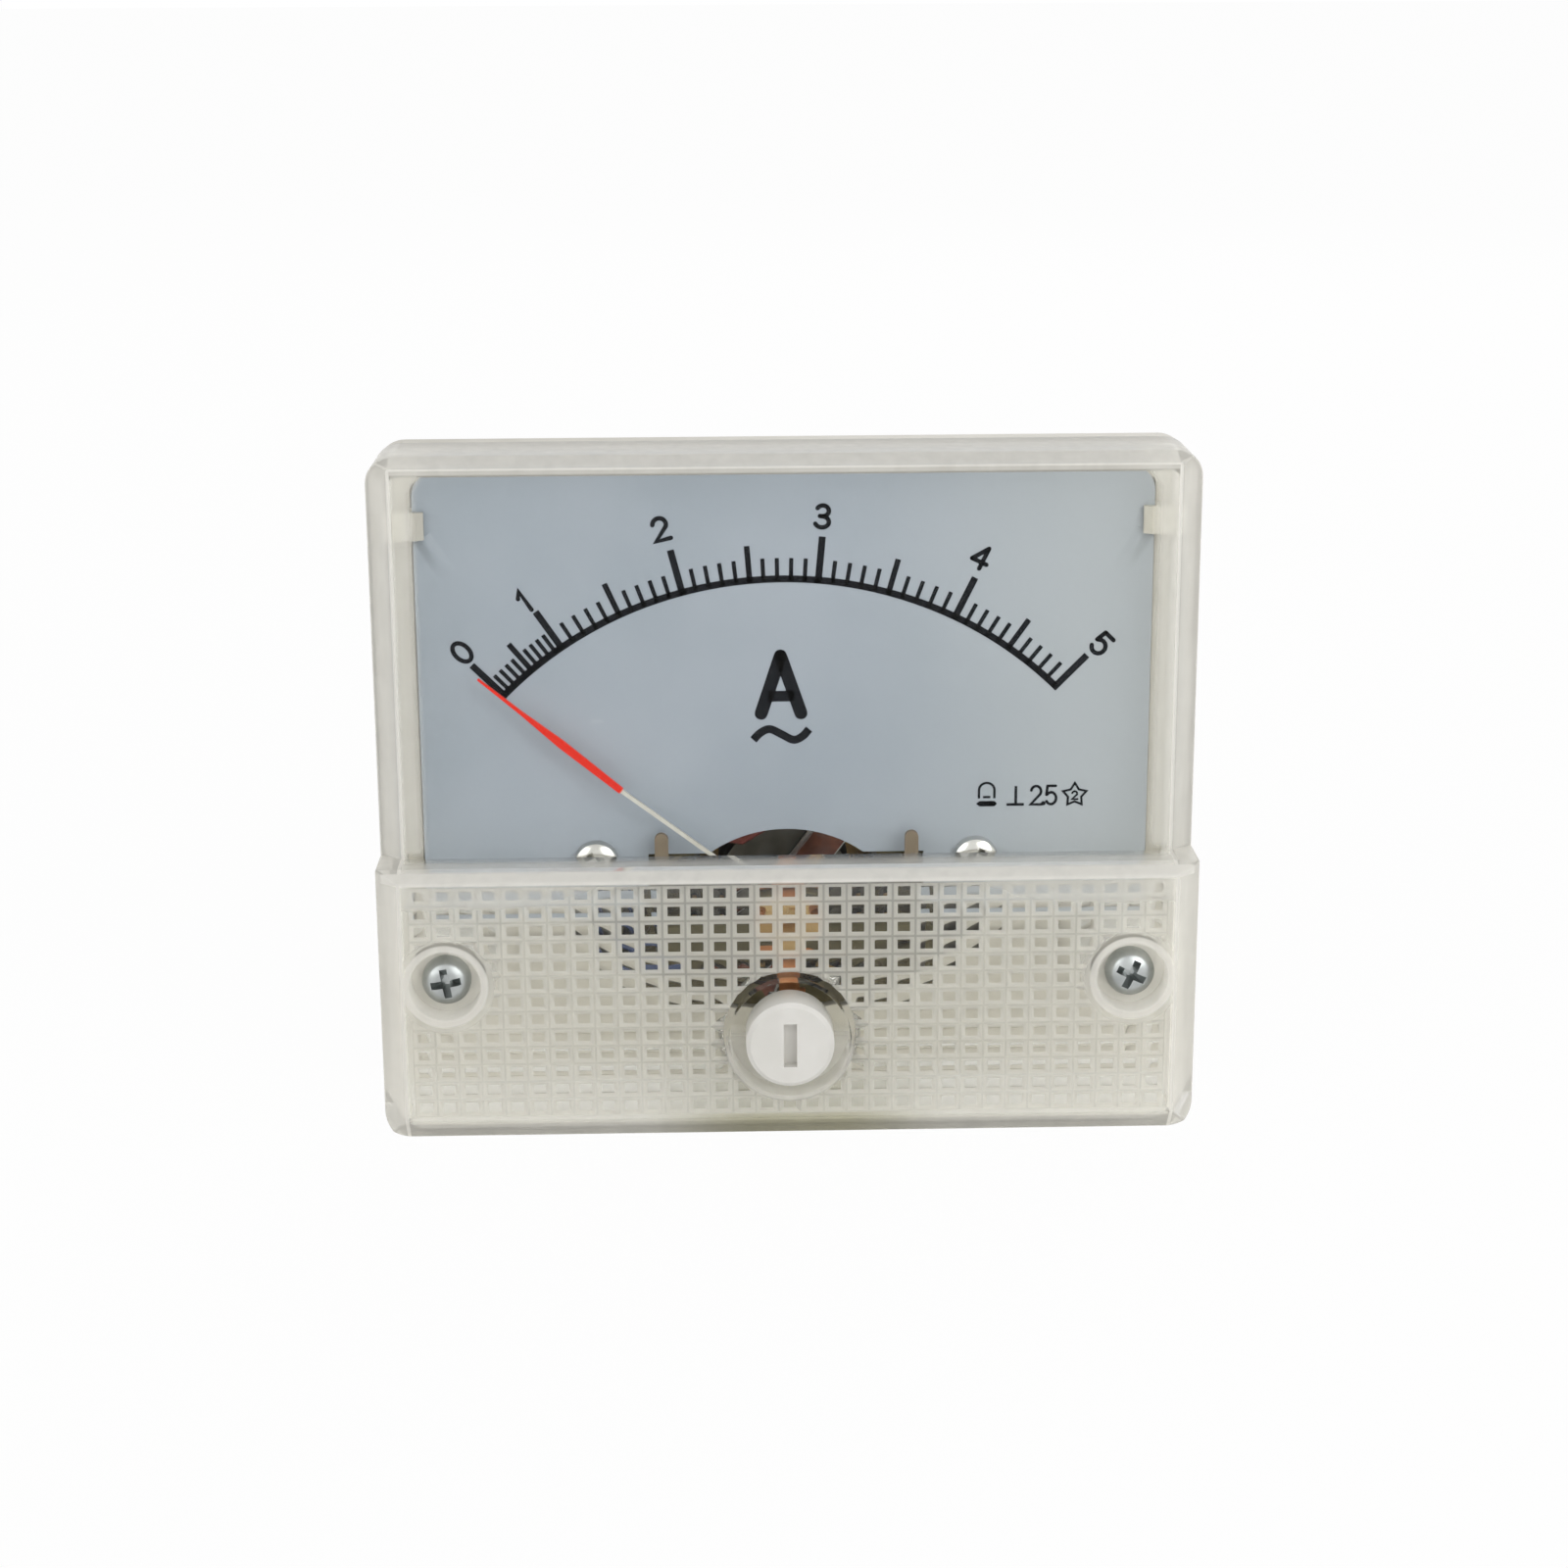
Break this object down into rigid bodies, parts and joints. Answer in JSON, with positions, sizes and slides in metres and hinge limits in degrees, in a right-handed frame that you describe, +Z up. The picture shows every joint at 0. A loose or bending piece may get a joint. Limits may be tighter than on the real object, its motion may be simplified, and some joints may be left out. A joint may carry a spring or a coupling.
{
  "type": "panel ammeter",
  "caption": "Rectangular analogue panel ammeter with a clear cover, textured lower strip, pivoted pointer over a curved scale, slotted zero adjuster and a round barrel with rear terminals.",
  "frame": {"origin": "on the barrel axis, in the panel plane at the back of the flange", "axes": "+X to the right seen from the front, +Y through the panel along the barrel, +Z up the dial"},
  "size_m": [0.065, 0.0582, 0.0544],
  "materials": {
    "clear_plastic": "clear moulded acrylic, polished",
    "cream_plastic": "moulded cream plastic",
    "white_plastic": "moulded white plastic",
    "black_plastic": "moulded black epoxy",
    "dial_paint": "pale blue-grey painted aluminium sheet",
    "red_lacquer": "red lacquered aluminium",
    "tan_fibre": "tan insulated strip",
    "zinc_steel": "zinc plated steel",
    "nickel_steel": "nickel plated steel",
    "olive_steel": "zinc plated steel, olive passivated",
    "soft_iron": "plated soft iron",
    "magnet_alloy": "cast magnet alloy",
    "aluminium": "stamped aluminium",
    "brass": "turned and stamped brass",
    "bronze": "phosphor bronze strip",
    "copper_wire": "enamelled copper wire",
    "board_laminate": "circuit board laminate",
    "red_insulation": "red wire insulation",
    "blue_insulation": "blue wire insulation"
  },
  "bodies": {
    "housing": {"front_cover": "clear_plastic", "base_housing": "cream_plastic", "cover_screws": "zinc_steel", "dial_plate": "dial_paint", "dial_screws": "nickel_steel", "pointer_stops": "tan_fibre", "rear_spring_anchor": "bronze", "front_bridge": "olive_steel", "rear_bridge": "brass", "bridge_screws": "olive_steel", "jewel_screws": "brass", "jewel_nuts": "brass", "magnet": "magnet_alloy", "pole_pieces": "soft_iron", "iron_core": "soft_iron", "core_supports": "brass", "movement_frame": "olive_steel", "frame_screws": "olive_steel", "pole_screws": "olive_steel", "circuit_board": "board_laminate", "rectifier_diodes": "black_plastic", "transformer_core": "soft_iron", "transformer_winding": "copper_wire", "red_lead": "red_insulation", "blue_lead": "blue_insulation", "terminal_studs": "brass", "terminal_nuts": "brass", "terminal_washers": "brass", "mounting_studs": "zinc_steel"},
    "moving_element": {"pointer": "red_lacquer", "balance_weights": "brass", "front_hairspring": "bronze", "rear_hairspring": "bronze", "coil_former": "aluminium", "coil_winding": "copper_wire", "coil_pivots": "nickel_steel"},
    "adjuster": {"zero_adjuster": "white_plastic"},
    "lever": {"zero_lever": "bronze"}
  },
  "joints": [
    {"name": "pointer_swing", "type": "hinge", "parent": "housing", "child": "moving_element", "pos_m": [0, 0, -0.0103], "axis": [0, 1, 0], "range_deg": [-2.4, 107.6], "stiffness_Nm_per_rad": 0.00002},
    {"name": "zero_adjuster_turn", "type": "hinge", "parent": "housing", "child": "adjuster", "pos_m": [0, 0, -0.0188], "axis": [0, 1, 0], "range_deg": [-30, 30]},
    {"name": "zero_lever_turn", "type": "hinge", "parent": "housing", "child": "lever", "pos_m": [0, 0, -0.0103], "axis": [0, 1, 0], "range_deg": [-7, 7]}
  ],
  "couplings": [
    {"joint": "zero_lever_turn", "follows": "zero_adjuster_turn", "ratio": -0.21429}
  ]
}
